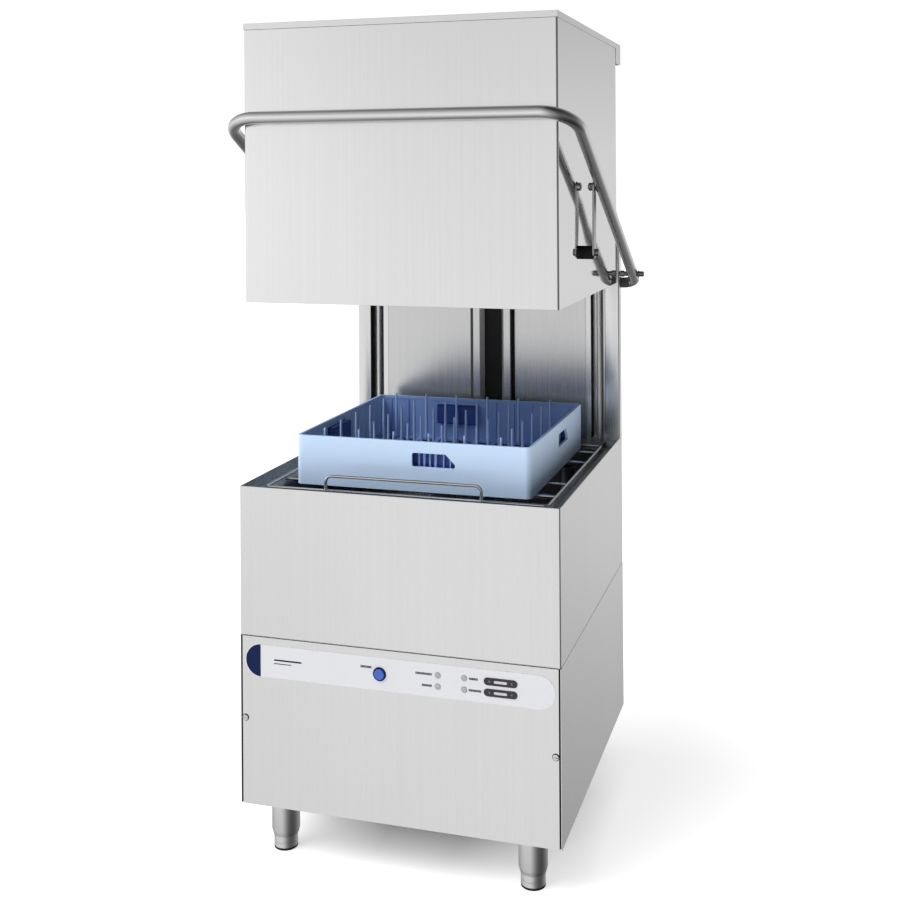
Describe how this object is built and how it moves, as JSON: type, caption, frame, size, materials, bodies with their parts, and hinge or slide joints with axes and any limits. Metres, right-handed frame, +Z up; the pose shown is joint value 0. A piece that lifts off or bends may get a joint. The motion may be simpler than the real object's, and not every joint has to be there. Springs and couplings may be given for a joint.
{
  "type": "hood dishwasher",
  "caption": "Free-standing pass-through dishwasher with a lift-up hood on two rear columns, a bent-tube handle with links, and a square plate rack.",
  "frame": {"origin": "on the floor, below the middle of the machine's overall box with the hood raised", "axes": "+Z up; +Y from the operator's front to the rear; +X to the operator's right"},
  "size_m": [0.775, 0.7424, 1.678],
  "materials": {
    "brushed_steel": "vertical brushed grain",
    "foot_steel": "turned satin steel",
    "bright_steel": "polished stainless",
    "tube_steel": "satin tube, brushed round",
    "black_rubber": "matt rubber",
    "black_plastic": "matt moulded",
    "white_plastic": "machined plastic",
    "grey_plastic": "extruded pipe",
    "motor_paint": "semi-matt paint on cast fins",
    "label_film": "printed satin film",
    "lamp_lens": "frosted lens",
    "display_black": "dark glossy window",
    "button_blue": "glossy moulded",
    "rack_plastic": "satin moulded polypropylene"
  },
  "bodies": {
    "machine": {"chassis": "brushed_steel", "foot_sleeves": "foot_steel", "side_panels": "brushed_steel", "rear_panel": "brushed_steel", "tank_casing": "brushed_steel", "tank": "brushed_steel", "columns": "brushed_steel", "guide_rods": "bright_steel", "rear_walls": "brushed_steel", "mast": "brushed_steel", "rear_cover": "brushed_steel", "spring_left": "bright_steel", "spring_right": "bright_steel", "riser_pipes": "brushed_steel", "upper_hub": "brushed_steel", "lower_hub": "brushed_steel", "arm_nuts": "bright_steel", "tank_heater": "bright_steel", "pump_housing": "black_plastic", "pump_motor": "motor_paint", "suction_hose": "black_rubber", "pressure_pipe": "black_plastic", "boiler": "brushed_steel", "boiler_heater": "bright_steel", "solenoid_valve": "white_plastic", "cable_gland": "black_plastic", "drain_pipe": "grey_plastic", "control_box": "brushed_steel", "hood_switch": "black_plastic", "pivot_bolts": "bright_steel"},
    "foot_front_left": {"foot_front_left": "foot_steel"},
    "foot_front_right": {"foot_front_right": "foot_steel"},
    "foot_rear_left": {"foot_rear_left": "foot_steel"},
    "foot_rear_right": {"foot_rear_right": "foot_steel"},
    "front_panel": {"front_panel": "brushed_steel", "control_label": "label_film", "lamps": "lamp_lens", "displays": "display_black"},
    "power_button": {"power_button": "button_blue"},
    "panel_screw_left": {"panel_screw_left": "bright_steel"},
    "panel_screw_right": {"panel_screw_right": "bright_steel"},
    "hood": {"hood_shell": "brushed_steel", "hood_cap": "brushed_steel", "hood_brackets": "brushed_steel", "hood_guide_blocks": "white_plastic", "hood_pins": "bright_steel", "hood_bushes": "black_rubber"},
    "handle": {"handle_bar": "tube_steel", "handle_plugs": "black_plastic"},
    "link_left": {"link_left": "bright_steel"},
    "link_right": {"link_right": "bright_steel"},
    "upper_wash_arm": {"upper_wash_arm": "brushed_steel"},
    "lower_wash_arm": {"lower_wash_arm": "brushed_steel"},
    "upper_rinse_arm": {"upper_rinse_arm": "bright_steel"},
    "lower_rinse_arm": {"lower_rinse_arm": "bright_steel"},
    "impeller": {"impeller": "black_plastic"},
    "tank_filter": {"tank_filter": "brushed_steel"},
    "overflow_pipe": {"overflow_pipe": "bright_steel"},
    "rack_guide": {"rack_guide": "bright_steel"},
    "rack": {"rack": "rack_plastic"}
  },
  "joints": [
    {"name": "hood_slide", "type": "slide", "parent": "machine", "child": "hood", "axis": [0, 0, 1], "range_m": [-0.384, 0]},
    {"name": "handle_pivot", "type": "hinge", "parent": "machine", "child": "handle", "pos_m": [0, 0.31093, 1.1325], "axis": [1, 0, 0], "range_deg": [0, 51], "deforming": ["spring_left", "spring_right"]},
    {"name": "link_left_pivot", "type": "hinge", "parent": "hood", "child": "link_left", "pos_m": [-0.3462, -0.09107, 1.2065], "axis": [1, 0, 0], "range_deg": [0, 7.2]},
    {"name": "link_right_pivot", "type": "hinge", "parent": "hood", "child": "link_right", "pos_m": [0.3462, -0.09107, 1.2065], "axis": [1, 0, 0], "range_deg": [0, 7.2]},
    {"name": "rack_guide_lift", "type": "slide", "parent": "machine", "child": "rack_guide", "axis": [0, 0, 1], "range_m": [0, 0.05]},
    {"name": "rack_lift", "type": "slide", "parent": "rack_guide", "child": "rack", "axis": [0, 0, 1], "range_m": [0, 0.2]},
    {"name": "upper_wash_spin", "type": "hinge", "parent": "machine", "child": "upper_wash_arm", "pos_m": [0, -0.01207, 1.172], "axis": [0, 0, 1], "continuous": true},
    {"name": "upper_rinse_spin", "type": "hinge", "parent": "machine", "child": "upper_rinse_arm", "pos_m": [0, -0.01207, 1.153], "axis": [0, 0, 1], "continuous": true},
    {"name": "lower_wash_spin", "type": "hinge", "parent": "machine", "child": "lower_wash_arm", "pos_m": [0, -0.01207, 0.669], "axis": [0, 0, 1], "continuous": true},
    {"name": "lower_rinse_spin", "type": "hinge", "parent": "machine", "child": "lower_rinse_arm", "pos_m": [0, -0.01207, 0.691], "axis": [0, 0, 1], "continuous": true},
    {"name": "impeller_spin", "type": "hinge", "parent": "machine", "child": "impeller", "pos_m": [-0.14, -0.01207, 0.29], "axis": [1, 0, 0], "continuous": true},
    {"name": "tank_filter_lift", "type": "slide", "parent": "machine", "child": "tank_filter", "axis": [0, 0, 1], "range_m": [0, 0.035]},
    {"name": "overflow_pipe_lift", "type": "slide", "parent": "machine", "child": "overflow_pipe", "axis": [0, 0, 1], "range_m": [0, 0.02]},
    {"name": "front_panel_pull", "type": "slide", "parent": "machine", "child": "front_panel", "axis": [0, -1, 0], "range_m": [0, 0.25]},
    {"name": "power_button_press", "type": "slide", "parent": "front_panel", "child": "power_button", "axis": [0, 1, 0], "range_m": [0, 0.0035], "stiffness_N_per_m": 600},
    {"name": "panel_screw_left_turn", "type": "hinge", "parent": "front_panel", "child": "panel_screw_left", "pos_m": [-0.319, -0.35707, 0.279], "axis": [0, 1, 0], "range_deg": [0, 90]},
    {"name": "panel_screw_right_turn", "type": "hinge", "parent": "front_panel", "child": "panel_screw_right", "pos_m": [0.319, -0.35707, 0.279], "axis": [0, 1, 0], "range_deg": [0, 90]},
    {"name": "foot_front_left_adjust", "type": "slide", "parent": "machine", "child": "foot_front_left", "axis": [0, 0, -1], "range_m": [0, 0.025]},
    {"name": "foot_front_right_adjust", "type": "slide", "parent": "machine", "child": "foot_front_right", "axis": [0, 0, -1], "range_m": [0, 0.025]},
    {"name": "foot_rear_left_adjust", "type": "slide", "parent": "machine", "child": "foot_rear_left", "axis": [0, 0, -1], "range_m": [0, 0.025]},
    {"name": "foot_rear_right_adjust", "type": "slide", "parent": "machine", "child": "foot_rear_right", "axis": [0, 0, -1], "range_m": [0, 0.025]}
  ],
  "couplings": [
    {"joint": "handle_pivot", "follows": "hood_slide", "rad_per_m": -2.3016},
    {"joint": "link_left_pivot", "follows": "hood_slide", "rad_per_m": -0.3195},
    {"joint": "link_right_pivot", "follows": "hood_slide", "rad_per_m": -0.3195}
  ]
}
